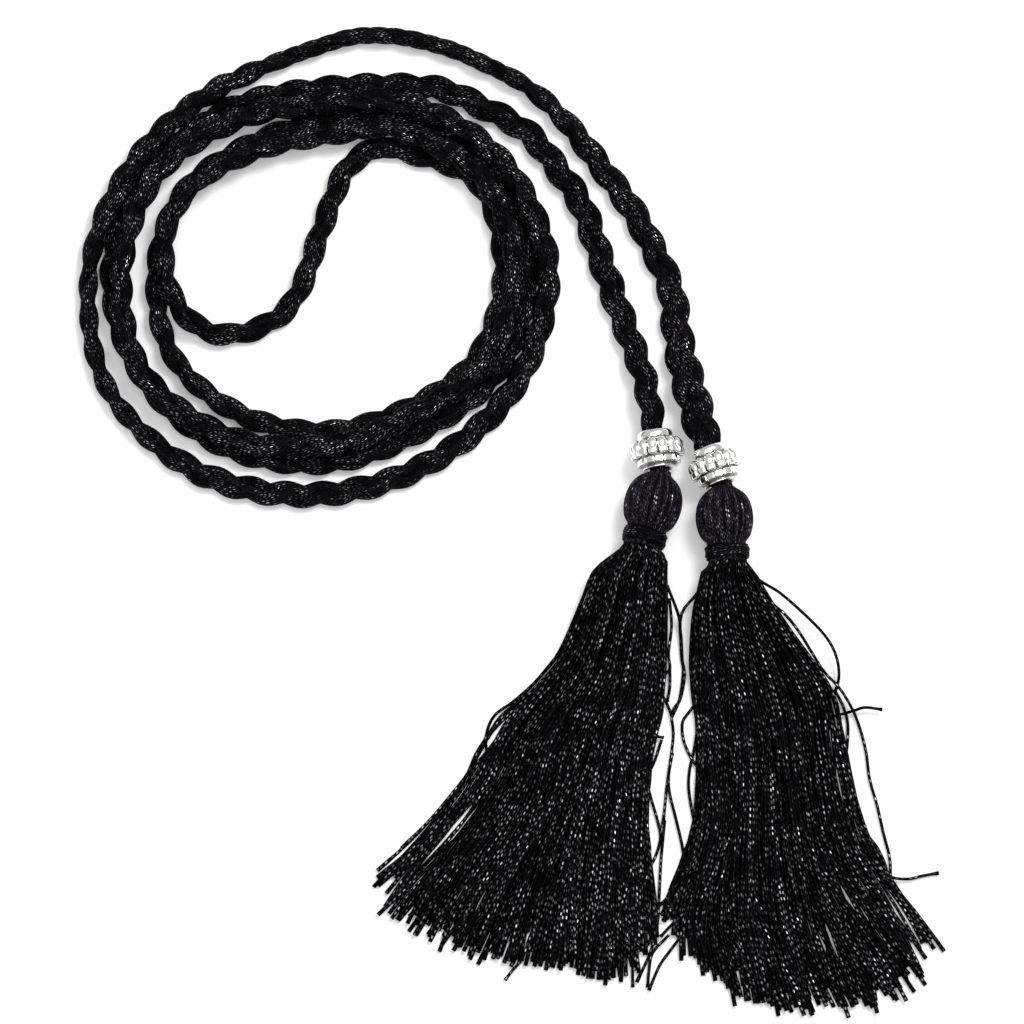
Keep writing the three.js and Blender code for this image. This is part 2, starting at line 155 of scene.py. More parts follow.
# %% the two ends, and where the coil's middle lies in the frame
# The outline of each fringe is given in sections down from the neck, as shares of its length.
# The reaches say how far the threads come down, from the fringe's left edge to its right.
HEAD_LENGTH = 13.2 * MM
HEAD_WIDTH = 13.2 * MM
WRAP_LENGTH = 4.6 * MM
BEAD_LENGTH = 9 * MM
SKIRT_LENGTH = 100 * MM
AXIS_HEIGHT = HEAD_WIDTH / 2  # the head is the widest piece, so it lifts the axis
ENDS = {
    "left": {
        "neck": (74.8, -64.2), "head_lean": -14, "bead_lean": 8, "bead_foot": 1.0 * MM,
        "sections": named_rows(("down", "left", "right"), [
            (0.02, -0.053, 0.052), (0.08, -0.122, 0.054), (0.15, -0.148, 0.052),
            (0.25, -0.186, 0.048), (0.33, -0.247, 0.043), (0.4, -0.313, 0.036),
            (0.45, -0.35, 0.02), (0.49, -0.378, 0.01), (0.54, -0.395, 0.006),
            (0.6, -0.44, 0.0), (0.68, -0.505, -0.004), (0.82, -0.655, 0.01),
            (1.05, -0.85, 0.02),
        ]),
        "reaches": [0.77, 0.84, 0.88, 0.905, 0.935, 0.955, 0.97, 0.985, 0.995, 1.01, 1.02, 0.94],
    },
    "right": {
        "neck": (93.8, -67.7), "head_lean": 4, "bead_lean": 20, "bead_foot": 0.64 * MM,
        "sections": named_rows(("down", "left", "right"), [
            (0.02, -0.053, 0.053), (0.07, -0.067, 0.08), (0.13, -0.078, 0.118),
            (0.21, -0.086, 0.17), (0.32, -0.08, 0.245), (0.46, -0.06, 0.268),
            (0.63, -0.067, 0.3), (0.72, -0.097, 0.347), (0.85, -0.145, 0.45),
            (1.08, -0.13, 0.6),
        ]),
        "reaches": [0.84, 0.95, 1.01, 1.04, 1.055, 1.065, 1.045, 1.045, 1.04, 1.0, 0.97, 0.91],
    },
}


def middle_of(node):
    low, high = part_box(node)
    return (low + high) / 2


def flat_point(pair):
    return Vector((pair[0] * MM, pair[1] * MM, 0))


COIL_MIDDLE = middle_of("neck_wrap_left") - flat_point(ENDS["left"]["neck"])
COIL_MIDDLE.z = 0


def on_table(pair):
    """A point given in millimetres about the coil's middle, in the frame."""
    return COIL_MIDDLE + flat_point(pair)


print("coil's middle:", tuple(round(value / MM, 2) for value in COIL_MIDDLE))


# %% from the points to one smooth line
def along_lean(start, lean, distance):
    angle = math.radians(lean)
    return start + distance * Vector((-math.sin(angle), math.cos(angle), 0))


def in_bead(end):
    """The stretch of cord inside an end's bead, from the head's top upwards."""
    head_top = along_lean(on_table(end["neck"]), end["head_lean"], WRAP_LENGTH / 2 + HEAD_LENGTH)
    thirds = [end["bead_foot"] + BEAD_LENGTH * third / 3 for third in range(4)]
    return [along_lean(head_top, end["bead_lean"], distance) for distance in thirds]


def coil_turn(column):
    points = []
    for row in COIL_TURNS:
        angle = math.radians(row["bearing"])
        points.append(on_table((row[column] * math.cos(angle), row[column] * math.sin(angle))))
    return points


def smooth_line(points, steps):
    """A Catmull-Rom line through the points, with so many steps in each span."""
    ends = [2 * points[0] - points[1], *points, 2 * points[-1] - points[-2]]
    line = []
    for before, start, stop, after in zip(ends, ends[1:], ends[2:], ends[3:]):
        for step in range(steps):
            t = step / steps
            cubic = 3 * (start - stop) + after - before
            square = 2 * before - 5 * start + 4 * stop - after
            line.append(start + 0.5 * t * (stop - before + t * (square + t * cubic)))
    return [*line, points[-1]]


def evenly(line, count):
    """So many points at even distances along a line."""
    reached = [0.0]
    for here, there in zip(line, line[1:]):
        reached.append(reached[-1] + (there - here).length)
    spaced, span = [], 0
    for i in range(count):
        target = reached[-1] * i / (count - 1)
        while span < len(line) - 2 and reached[span + 1] < target:
            span += 1
        width = max(reached[span + 1] - reached[span], 1e-9)
        spaced.append(line[span].lerp(line[span + 1], (target - reached[span]) / width))
    return spaced


def length_of(line):
    return sum((there - here).length for here, there in zip(line, line[1:]))


ROUTE_STEPS = 1600
lower_half = coil_turn("lower_inner") + coil_turn("lower_outer") + [on_table(p) for p in LEFT_ARM]
upper_half = coil_turn("upper_inner") + coil_turn("upper_outer") + [on_table(p) for p in RIGHT_ARM]
fold = [on_table(pair) for pair in LOWER_FOLD + UPPER_FOLD]
route_points = [
    *in_bead(ENDS["left"]), *reversed(lower_half), *fold, *upper_half, *reversed(in_bead(ENDS["right"])),
]
plan = evenly(smooth_line(route_points, 24), ROUTE_STEPS)
STEP = length_of(plan) / (ROUTE_STEPS - 1)
print(f"route on the table: {length_of(plan):.3f} m, a point each {STEP / MM:.2f} mm")

# %% [markdown]
# ## How the plait lies
# The cord is a flat plait of three strands, about 5.5 mm wide and 4 mm thick, so it lies flat, leans
# or stands on its edge as it goes round. A table gives how far it is turned over and how wide
# it is pulled at shares of its length. Its height follows from that: half of its own height
# over the table, and more where it climbs over a turn below it, in a long low hump.

# %% a table of how the plait lies, and its height
STRAND_RADIUS = 1.55 * MM
STRAND_SWING = 1.15 * MM  # how far a strand goes from side to side
STRAND_DIP = 0.5 * MM  # how far it goes up and down
PLAIT_WIDTH = 2 * (STRAND_SWING + STRAND_RADIUS)
PRESSED = 0.86  # turns that touch press into each other by this share
HUMP_LENGTH = 18 * MM
ARM_RISE_LENGTH = 30 * MM
END_STRETCH = BEAD_LENGTH + 1.5 * MM
LAY = named_rows(("at", "turned", "wide"), [  # turned in degrees
    (0.0, 0, 0.86), (0.006, 0, 0.95), (0.009, 0, 1.12), (0.03, 0, 1.25), (0.07, 0, 1.15),
    (0.1, 10, 1.05), (0.27, 0, 1.0), (0.3, 30, 1.0), (0.325, 50, 1.0), (0.35, 10, 1.0),
    (0.42, 15, 1.0), (0.44, 40, 1.0), (0.49, 45, 1.0), (0.52, 15, 1.0), (0.69, 0, 1.05),
    (0.77, 0, 1.1), (0.8, 0, 1.15), (0.822, 70, 1.0), (0.845, 70, 1.0), (0.86, 10, 1.05),
    (0.88, 15, 1.0), (0.893, 75, 1.0), (0.925, 75, 1.0), (0.935, 45, 1.0), (0.945, 10, 1.12),
    (0.955, 0, 1.2), (0.965, 0, 1.25), (0.975, 0, 1.45), (0.984, 0, 1.7), (0.991, 0, 1.7),
    (0.9935, 0, 1.35), (0.9955, 0, 0.95), (1.0, 0, 0.86),
])


def from_table(rows, key, column, value):
    """A column of a table, read between its rows with a soft step."""
    for low, high in zip(rows, rows[1:]):
        if value <= high[key]:
            share = (value - low[key]) / (high[key] - low[key])
            share = share * share * (3 - 2 * share)
            return low[column] + (high[column] - low[column]) * share
    return rows[-1][column]


def half_sizes(share):
    """Half of the plait's width on the table and half of its height, as it lies there."""
    turned = math.radians(from_table(LAY, "at", "turned", share))
    pulled = from_table(LAY, "at", "wide", share)
    wide = STRAND_SWING * pulled + STRAND_RADIUS * math.sqrt(pulled)
    thick = STRAND_DIP + STRAND_RADIUS * math.sqrt(pulled)
    across = math.hypot(wide * math.cos(turned), thick * math.sin(turned))
    upward = math.hypot(wide * math.sin(turned), thick * math.cos(turned))
    return across, upward


def lay_heights(plan):
    """The middle height of the plait at every point of its plan."""
    sizes = [half_sizes(i / (len(plan) - 1)) for i in range(len(plan))]
    turning = on_table(LOWER_FOLD[-1])
    half = min(range(len(plan)), key=lambda i: (plan[i] - turning).length)
    stride = 3  # every third point of the lower half is near enough
    apart = round(3 * PLAIT_WIDTH / STEP)
    lifts = [0.0] * len(plan)
    for i in range(half + 1, len(plan)):
        for j in range(0, min(half, i - apart), stride):
            reach = (sizes[i][0] + sizes[j][0]) * PRESSED
            between = (plan[i] - plan[j]).length
            if between < reach:
                rise = (sizes[i][1] + sizes[j][1]) * math.sqrt(1 - (between / reach) ** 2)
                lifts[i] = max(lifts[i], rise)
    span = round(HUMP_LENGTH / 2 / STEP)
    humps = [max(lifts[max(0, i - span): i + span + 1]) for i in range(len(plan))]
    heights = []
    for i, (across, upward) in enumerate(sizes):
        near = humps[max(0, i - span): i + span + 1]
        bed = upward + sum(near) / len(near)
        to_end = min(i, len(plan) - 1 - i) * STEP - END_STRETCH
        risen = 1 - min(1.0, max(0.0, to_end / ARM_RISE_LENGTH))
        heights.append(bed + (AXIS_HEIGHT - bed) * risen * risen * (3 - 2 * risen))
    return heights


route = [Vector((p.x, p.y, z)) for p, z in zip(plan, lay_heights(plan))]
CORD_LENGTH = length_of(route)
print(f"cord: {CORD_LENGTH:.3f} m, up to {max(p.z for p in route) / MM:.1f} mm high")

# %% [markdown]
# ## Threads and strands as bevelled curves
# Every soft piece here is made of threads. A curve with a bevel is Blender's own way to make
# one: the curve is the thread's middle line, and the bevel its section. A curve is turned into
# a mesh at once, because only a mesh keeps its own UV map. In that map U counts the threads,
# with the share of the way round as its fraction, and V runs along the thread in millimetres.


# %% a helper that turns lines into one mesh of threads
MAP_SHIFT = 7.3  # how far on each thread starts along the map, so that no two are alike


def ring_outline(sides, ridge):
    """A closed outline of radius 1, whose every second corner is drawn in to make ridges."""
    data = bpy.data.curves.new("outline", "CURVE")
    spline = data.splines.new("POLY")
    spline.points.add(sides - 1)
    spline.use_cyclic_u = True
    for i, point in enumerate(spline.points):
        angle = -2 * math.pi * i / sides
        radius = 1 - ridge * (i % 2)
        point.co = (radius * math.cos(angle), radius * math.sin(angle), 0, 1)
    return add_to_scene("outline", data)


def spin_threads(name, lines, radii, sides=6, ridge=0.0, ridges=1):
    """One mesh of threads. lines and radii hold as many points for each thread."""
    outline = ring_outline(sides, ridge)
    data = bpy.data.curves.new(name, "CURVE")
    data.dimensions = "3D"
    data.bevel_mode = "OBJECT"
    data.bevel_object = outline
    data.use_fill_caps = True
    for line, radius in zip(lines, radii):
        spline = data.splines.new("POLY")
        spline.points.add(len(line) - 1)
        spline.points.foreach_set("co", [value for p in line for value in (*p, 1)])
        spline.points.foreach_set("radius", radius)
        spline.use_smooth = True
    source = add_to_scene(name + "_line", data)
    graph = bpy.context.evaluated_depsgraph_get()
    mesh = bpy.data.meshes.new_from_object(source.evaluated_get(graph), depsgraph=graph)
    for spare in (source, outline):
        bpy.data.objects.remove(spare)
    write_thread_map(mesh, lines, sides, ridges)
    close_up(mesh)
    mesh.name = name
    return add_to_scene(name, mesh)


def write_thread_map(mesh, lines, sides, ridges):
    """Turns the curve's own map into thread numbers and millimetres."""
    caps = 2 * sides * len(lines)
    block = sides * len(lines[0])
    lengths = [length_of(line) / MM for line in lines]
    layer = mesh.uv_layers[0]
    layer.name = "thread"
    flat = [0.0] * (2 * len(mesh.loops))
    layer.uv.foreach_get("vector", flat)
    corners = [0] * len(mesh.loops)
    mesh.loops.foreach_get("vertex_index", corners)
    for i, corner in enumerate(corners):
        if corner >= caps:
            number = (corner - caps) // block
            along, around = flat[2 * i], flat[2 * i + 1]
            flat[2 * i] = (number + around) * ridges
            flat[2 * i + 1] = along * lengths[number] + MAP_SHIFT * number
    layer.uv.foreach_set("vector", flat)


def close_up(mesh):
    """Merges what lies on itself and turns every face outwards."""
    work = bmesh.new()
    work.from_mesh(mesh)
    bmesh.ops.remove_doubles(work, verts=work.verts, dist=1e-7)
    bmesh.ops.recalc_face_normals(work, faces=work.faces)
    for face in work.faces:
        face.smooth = True
    work.to_mesh(mesh)
    work.free()


def piece_from(work, name):
    """Turns a finished bmesh into a piece in the scene."""
    mesh = bpy.data.meshes.new(name)
    work.to_mesh(mesh)
    work.free()
    return add_to_scene(name, mesh)


def triangles_in(piece):
    return sum(len(polygon.vertices) - 2 for polygon in piece.data.polygons)


print("threads can be spun")

# %% [markdown]
# ## The plait
# A flat plait of three strands is an old friend of mathematics: each strand swings from side to
# side once in a period and dips under and over twice as often, and the three are a third of a
# period apart. So the strands are three sine paths about the route. A weaker wave, three times
# as quick, folds them over more sharply at the edges, where they also swell a little. Each
# strand is itself a bundle of threads, which shows as ridges round its section.

# %% plait the three strands along the route
PLAIT_PERIOD = 24.4 * MM
STRAND_RIDGES = 10
STRAND_FOLD = 0.12  # how much sharper than a sine path a strand turns at the edges
STRAND_SWELL = 0.06  # how much thicker a strand is at the edges


def strand_line(route, strand):
    line, radii = [], []
    last = len(route) - 1
    for i, point in enumerate(route):
        ahead = (route[min(i + 1, last)] - route[max(i - 1, 0)]).normalized()
        side = ahead.cross(Vector((0, 0, 1))).normalized()
        upward = side.cross(ahead)
        turned = math.radians(from_table(LAY, "at", "turned", i / last))
        wide = from_table(LAY, "at", "wide", i / last)
        face = side * math.cos(turned) + upward * math.sin(turned)
        through = upward * math.cos(turned) - side * math.sin(turned)
        angle = 2 * math.pi * (i * STEP / PLAIT_PERIOD + strand / 3)
        swing = STRAND_SWING * wide * (math.sin(angle) - STRAND_FOLD * math.sin(3 * angle))
        radius = STRAND_RADIUS * math.sqrt(wide) * (1 - STRAND_SWELL * math.cos(2 * angle))
        spot = point + face * swing + through * STRAND_DIP * math.sin(2 * angle)
        spot.z = max(spot.z, radius)
        line.append(spot)
        radii.append(radius)
    return line, radii


strands = [strand_line(route, strand) for strand in range(3)]
plait = spin_threads(
    "plaited_cord", [line for line, _ in strands], [radii for _, radii in strands],
    sides=2 * STRAND_RIDGES, ridge=0.1, ridges=STRAND_RIDGES,
)
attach(plait, "root")
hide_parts("cord")
print(f"plait: {triangles_in(plait)} triangles")

# %% [markdown]
# ## Threads of the fringe
# Each tassel's fringe is some hundreds of twisted threads that leave the bound neck as a round
# bundle and sink into a flat fan on the table. They could be grown as hair, but hair can't
# be told where each thread starts and ends. So every thread gets its own place across the fan
# and its own layer, follows the fan's outline from the table above, and wanders a little.

# %% where a thread lies in the fan
THREAD_RADIUS = 0.38 * MM
NECK_RADIUS = 4.4 * MM
NECK_FILL = 0.86  # the threads' middle lines keep within this share of the neck's radius
THREADS_IN_FRINGE = 400
FAN_POINTS = 38
FAN_WIDTH = 66 * MM  # roughly, near its tips
MIDDLE_THICKNESS = 5.2 * MM
TIP_THICKNESS = 2.2 * MM
EDGE_THINNING = 0.5
SPARSE_EDGE = 0.62  # under 1, the threads lie further apart towards the fan's outer edge
SWAY = 1.7 * MM  # how far a thread swings to and fro
DRIFT = 4.2 * MM  # how far its end may lie from its own place
SPILL = 1.7 * MM  # how far a thread may pass the fan's outline at its tips
STRAYING = 0.3  # the share of threads that cross their neighbours
STRAY_MORE = 2.6  # how many times as far those sway and drift
BOWED = 0.3  # the part of the fan, from its outer edge, whose threads bow outwards
BOW = 3.4 * MM
CUT_SHORT = -0.075  # a thread's reach differs from the fan's by a share between these two
CUT_LONG = 0.012
LONG_THREADS = 0.08  # the share of threads that were cut too long
TOO_LONG = 1.02  # how many times as far those reach
THIN_START = 0.62  # how thick a thread is inside the neck, beside its full thickness
KNOB = [1.1, 1.3, 1.35]  # how much thicker a thread is at its last points
STATIONS = named_rows(("along", "sunk"), [
    (0.05, 0.08), (0.1, 0.2), (0.18, 0.55), (0.34, 0.92), (0.45, 0.97), (0.55, 1), (0.66, 1),
    (0.75, 1), (0.83, 1), (0.91, 1), (1, 1),
])


def blend(low, high, share):
    return low + (high - low) * share


def edge_at(sections, edge, down):
    """The fan's left or right edge, at a share of its length down from the neck."""
    for low, high in zip(sections, sections[1:]):
        if down <= high["down"]:
            break
    return blend(low[edge], high[edge], (down - low["down"]) / (high["down"] - low["down"]))


def reach_at(reaches, share):
    place = share * (len(reaches) - 1)
    low = min(int(place), len(reaches) - 2)
    return blend(reaches[low], reaches[low + 1], place - low)


def fan_thread(side, share, layer, dice):
    """One thread of a fringe: share is its place across the fan, layer its place from below."""
    end = ENDS[side]
    neck = on_table(end["neck"])
    lean = math.radians(end["head_lean"])
    across_neck = (2 * share - 1) * NECK_RADIUS * NECK_FILL
    chord = math.sqrt(max(0.0, (NECK_RADIUS * NECK_FILL) ** 2 - across_neck ** 2))
    neck_height = AXIS_HEIGHT + (2 * layer - 1) * chord
    across = Vector((math.cos(lean), math.sin(lean), 0))
    points = []
    for below in (-0.2 * WRAP_LENGTH, 0.3 * WRAP_LENGTH, 0.6 * WRAP_LENGTH):
        point = along_lean(neck, end["head_lean"], -below) + across * across_neck
        points.append(Vector((point.x, point.y, neck_height)))
    outer = -1 if side == "left" else 1
    place = share ** SPARSE_EDGE if side == "left" else 1 - (1 - share) ** SPARSE_EDGE
    cut = 1 + dice.uniform(CUT_SHORT, CUT_LONG)
    if dice.random() < LONG_THREADS:
        cut *= TOO_LONG
    dome = 1 - EDGE_THINNING * (2 * place - 1) ** 2
    straying = STRAY_MORE if dice.random() < STRAYING else 1
    drift = dice.uniform(-1, 1) * DRIFT * straying
    # The fan's reach at the thread's own place or where it drifts to, whichever is less.
    landing = min(max(place + drift / FAN_WIDTH, 0.0), 1.0)
    reach = min(reach_at(end["reaches"], place), reach_at(end["reaches"], landing)) * cut
    sway = dice.uniform(0.3, 1) * SWAY * straying
    pace = dice.uniform(4, 12)
    phase = dice.uniform(0, 6.3)
    from_edge = place if side == "left" else 1 - place
    bow = outer * BOW * dice.random() ** 2 * max(0.0, 1 - from_edge / BOWED)
    for station in STATIONS:
        along = station["along"]
        down = along * reach
        left = edge_at(end["sections"], "left", down) * SKIRT_LENGTH + THREAD_RADIUS
        right = edge_at(end["sections"], "right", down) * SKIRT_LENGTH - THREAD_RADIUS
        wander = sway * along * math.sin(phase + pace * along) + drift * along ** 2
        wander += bow * math.sin(math.pi * along)
        spill = SPILL * along
        sideways = min(max(blend(left, right, place) + wander, left - spill), right + spill)
        thick = dome * blend(MIDDLE_THICKNESS, TIP_THICKNESS, along)
        bed = THREAD_RADIUS + layer * (thick - 2 * THREAD_RADIUS) + dice.uniform(0, 0.2) * MM
        height = blend(neck_height, bed, station["sunk"])
        points.append(neck + Vector((sideways, -down * SKIRT_LENGTH, height)))
    line = evenly(smooth_line(points, 6), FAN_POINTS)
    swell = [blend(THIN_START, 1, min(1.0, 5 * i / FAN_POINTS)) for i in range(FAN_POINTS)]
    return settle(line, swell)


def settle(line, swell):
    """Gives a thread its thickness, with a sealed knob at its end, and keeps it off the table."""
    radii = [THREAD_RADIUS * share for share in swell]
    for step, share in enumerate(KNOB):
        radii[step - len(KNOB)] *= share
    lifted = [Vector((p.x, p.y, max(p.z, radius))) for p, radius in zip(line, radii)]
    return lifted, radii


print(f"a fringe has {THREADS_IN_FRINGE} threads of {2 * THREAD_RADIUS / MM:.2f} mm")


# %% make the two fringes
def make_fringe(side, seed):
    dice = random.Random(seed)
    lines, radii = [], []
    for number in range(THREADS_IN_FRINGE):
        share = (number + dice.uniform(0.1, 0.9)) / THREADS_IN_FRINGE
        line, radius = fan_thread(side, share, dice.random(), dice)
        lines.append(line)
        radii.append(radius)
    fringe = spin_threads(f"fringe_{side}", lines, radii)
    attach(fringe, "root")
    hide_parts(f"tassel_{side}")
    print(f"fringe_{side}: {len(lines)} threads, {triangles_in(fringe)} triangles")
    return fringe


fringes = [make_fringe("left", 11), make_fringe("right", 29)]

# %% [markdown]
# ## Loose threads
# A few threads have worked loose from the fringes. Each one is a listed line of points, as
# it lies in the photograph: across and up in millimetres about the coil's middle, and its height.

# %% lay the loose threads
LOOSE_THREADS = {
    "left": [
        [(80.0, -75.3, 6), (82.6, -81.7, 3), (83.0, -85.3, 1.5), (83.3, -91.1, 0.8),
         (83.7, -94.4, 0.8), (82.8, -101.0, 0.8), (81.0, -105.0, 0.8)],
        [(80.5, -78.0, 4.5), (81.0, -84.1, 2.5), (80.3, -90.3, 1.5), (80.6, -93.8, 1.2),
         (78.9, -95.9, 2.5)],
        [(80.6, -93.4, 1.6), (80.6, -98.0, 1), (80.0, -101.5, 1)],
        [(78.4, -99.5, 2.5), (80.0, -102.2, 1), (81.0, -104.8, 1)],
        [(75.7, -108.9, 2.5), (77.3, -109.8, 2), (79.1, -110.0, 1.2)],
        [(78.7, -110.5, 1.2), (77.0, -115.6, 0.8), (75.2, -119.1, 1.5), (73.4, -122.0, 3)],
        [(74.1, -117.8, 3), (75.0, -119.6, 1.6), (76.1, -123.6, 0.8), (77.7, -129.3, 0.7),
         (78.4, -133.3, 0.7), (77.3, -137.6, 0.8), (75.9, -140.3, 1.2), (73.4, -143.9, 2.5)],
        [(79.4, -129.3, 0.8), (78.9, -134.3, 0.8), (78.4, -140.2, 0.8), (78.0, -148.4, 0.8),
         (77.5, -154.6, 1), (75.9, -160.5, 1), (72.9, -167.1, 0.8)],
        [(72.5, -157.7, 2), (72.0, -163.4, 1.2), (72.0, -168.3, 0.8)],
        [(72.7, -157.8, 2.5), (74.8, -160.7, 1)],
        [(49.9, -98.9, 2.4), (44.6, -102.7, 1.8), (41.6, -105.2, 1.2), (39.5, -108.4, 0.9),
         (37.0, -112.6, 0.8), (35.2, -117.4, 0.8), (34.6, -122.0, 0.8), (35.8, -126.2, 1.6)],
        [(54.0, -92.0, 2.6), (49.6, -97.2, 2.0), (44.6, -101.6, 1.2), (40.8, -104.3, 0.9),
         (39.0, -107.4, 0.8), (38.4, -111.6, 0.8), (39.6, -116.0, 1.6)],
        [(48.6, -157.0, 2.4), (46.6, -162.0, 2), (44.4, -164.6, 1.5), (42.8, -166.6, 0.8)],
    ],
    "right": [
        [(96.8, -71.0, 7), (101.6, -74.4, 6), (105.4, -76.6, 5.4), (109.5, -80.0, 5), (114.5, -84.8, 4.5),
         (117.3, -88.3, 4), (118.9, -91.9, 3.5), (119.4, -95.5, 2.5), (118.9, -98.2, 2),
         (118.0, -100.5, 2)],
        [(98.6, -74.6, 4.5), (103.4, -78.6, 4), (107.0, -81.6, 3.8), (110.2, -85.6, 3.5), (114.1, -92.0, 3),
         (116.2, -95.3, 3), (119.4, -98.5, 2.5), (122.4, -103.3, 1.5), (124.2, -107.9, 1),
         (125.6, -113.5, 0.8), (126.3, -119.6, 0.8), (127.9, -125.3, 0.8), (129.5, -132.6, 0.8),
         (130.9, -138.3, 0.8), (131.3, -145.4, 0.8), (134.1, -150.1, 0.8), (136.8, -153.9, 0.8),
         (138.2, -158.1, 0.8)],
        [(118.5, -99.1, 2), (120.5, -103.1, 1), (121.4, -106.9, 0.8), (121.2, -112.1, 0.8),
         (120.5, -116.0, 1.5)],
        [(117.5, -105.4, 2.5), (120.3, -104.6, 2), (122.8, -103.9, 2.2), (125.4, -103.2, 2.4),
         (129.3, -103.6, 2)],
        [(123.5, -129.8, 2), (125.8, -132.9, 1.2), (128.1, -135.9, 0.9), (130.0, -140.4, 0.9),
         (129.5, -142.9, 1.5)],
        [(124.9, -134.1, 2), (127.9, -140.0, 1.2), (131.1, -142.7, 1.6), (135.0, -143.1, 1.2),
         (138.2, -142.3, 0.8), (142.1, -141.6, 0.8)],
        [(87.6, -76.0, 6), (86.2, -77.6, 4), (83.7, -80.2, 2), (83.0, -83.3, 1), (83.3, -87.1, 0.8),
         (83.5, -91.8, 0.8), (84.0, -95.5, 0.8), (83.0, -101.0, 0.8), (81.4, -103.1, 0.8),
         (81.0, -105.5, 0.8), (81.4, -108.3, 0.8), (81.2, -111.6, 0.8), (80.5, -116.8, 0.8),
         (79.8, -121.8, 0.8), (79.4, -126.2, 0.8), (78.9, -131.1, 1.5)],
        [(86.7, -102.0, 2), (84.9, -104.1, 1), (83.5, -106.4, 0.8), (83.7, -110.4, 0.8),
         (85.3, -114.4, 0.8), (87.4, -117.7, 1.5), (88.5, -119.7, 3)],
        [(86.9, -108.1, 2), (86.5, -110.7, 1.2), (86.0, -113.5, 0.8), (85.1, -117.5, 0.8),
         (84.9, -122.2, 0.8), (86.0, -129.1, 0.8), (86.9, -132.2, 2)],
        [(81.2, -113.7, 1.6), (80.3, -118.8, 1.5), (80.5, -122.9, 0.8), (81.9, -128.8, 0.8),
         (83.3, -135.0, 0.8), (84.0, -139.9, 0.8), (84.6, -142.1, 2)],
        [(86.2, -141.4, 3), (83.5, -142.9, 1.2), (80.7, -146.5, 0.8), (78.2, -149.3, 1.6)],
        [(85.3, -141.9, 3), (83.3, -143.7, 1), (81.0, -148.4, 0.8), (78.9, -152.9, 1.6)],
        [(83.5, -151.6, 2.5), (81.0, -153.6, 0.8), (78.4, -156.6, 1.6)],
        [(83.0, -156.8, 2.5), (80.0, -160.5, 0.8), (78.0, -163.5, 0.8), (75.7, -169.0, 0.8)],
        [(80.3, -156.3, 2), (76.6, -160.2, 0.8), (75.7, -164.5, 0.8), (75.4, -168.3, 0.8)],
        [(86.0, -127.9, 2), (86.9, -124.9, 1), (87.6, -121.5, 0.8), (88.8, -120.3, 1.6)],
    ],
}


def make_loose(side):
    lines, radii = [], []
    for points in LOOSE_THREADS[side]:
        spots = [on_table(point) + Vector((0, 0, point[2] * MM)) for point in points]
        line, radius = settle(evenly(smooth_line(spots, 8), FAN_POINTS), [0.95] * FAN_POINTS)
        lines.append(line)
        radii.append(radius)
    loose = spin_threads(f"loose_threads_{side}", lines, radii)
    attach(loose, "root")
    print(f"loose_threads_{side}: {len(lines)} threads")
    return loose


loose_threads = [make_loose("left"), make_loose("right")]

# %% [markdown]
# ## The heads
# Above the bound neck the same threads are laid lengthwise round an egg-shaped core. The core
# is a spun profile, and the threads lie half sunk in it, side by side from pole to neck.

# %% the egg and its threads
HEAD_PROFILE = [  # shares of the head's length up from the neck, and the radius there
    (-0.35, 4.2 * MM), (0.0, 4.3 * MM), (0.1, 5.3 * MM), (0.26, 6.05 * MM), (0.45, 6.32 * MM),
    (0.67, 5.9 * MM), (0.84, 4.7 * MM), (0.95, 3.0 * MM), (1.0, 2.3 * MM), (1.06, 2.1 * MM),
]
THREADS_IN_HEAD = 74
OVERLAP = 1.15  # over 1, neighbouring threads on the head run into each other a little
HEAD_POINTS = 26
CORE_DEPTH = 0.3 * MM


def place_of(end, lean):
    """The matrix that stands a piece's local Y axis on an end's neck."""
    neck = on_table(end["neck"])
    neck.z = AXIS_HEIGHT
    return Matrix.Translation(neck) @ Matrix.Rotation(math.radians(lean), 4, "Z")


def head_section():
    spots = [Vector((radius, WRAP_LENGTH / 2 + HEAD_LENGTH * share, 0)) for share, radius in HEAD_PROFILE]
    return evenly(smooth_line(spots, 8), HEAD_POINTS)


def spun(profile, place, steps, name):
    """A closed body turned about its local Y axis from a profile that starts and ends on it."""
    work = bmesh.new()
    corners = [work.verts.new(point) for point in profile]
    edges = [work.edges.new(pair) for pair in zip(corners, corners[1:])]
    bmesh.ops.spin(
        work, geom=corners + edges, cent=(0, 0, 0), axis=(0, 1, 0), angle=2 * math.pi,
        steps=steps, use_merge=True,
    )
    bmesh.ops.remove_doubles(work, verts=work.verts, dist=1e-6)
    bmesh.ops.recalc_face_normals(work, faces=work.faces)
    bmesh.ops.transform(work, matrix=place, verts=work.verts)
    for face in work.faces:
        face.smooth = True
    return piece_from(work, name)


def make_head(side, seed):
    dice = random.Random(seed)
    end = ENDS[side]
    place = place_of(end, end["head_lean"])
    section = head_section()
    lines, radii = [], []
    for number in range(THREADS_IN_HEAD):
        turn = 2 * math.pi * (number + dice.uniform(-0.12, 0.12)) / THREADS_IN_HEAD
        stand = dice.uniform(-0.08, 0.08) * MM
        line = [place @ (Matrix.Rotation(turn, 3, "Y") @ (p + Vector((stand, 0, 0)))) for p in section]
        lines.append(line)
        radii.append([min(THREAD_RADIUS, OVERLAP * math.pi * p.x / THREADS_IN_HEAD) for p in section])
    threads = spin_threads(f"head_threads_{side}", lines, radii)
    low, high = section[0].y, section[-1].y
    inner = [Vector((p.x - CORE_DEPTH, p.y, 0)) for p in section]
    profile = [Vector((0, low, 0)), *inner, Vector((0, high, 0))]
    core = spun(profile, place, THREADS_IN_HEAD, f"head_core_{side}")
    for piece in (threads, core):
        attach(piece, "root")
        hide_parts(f"tassel_{side}")
    print(f"head_{side}: {triangles_in(threads) + triangles_in(core)} triangles")
    return threads, core


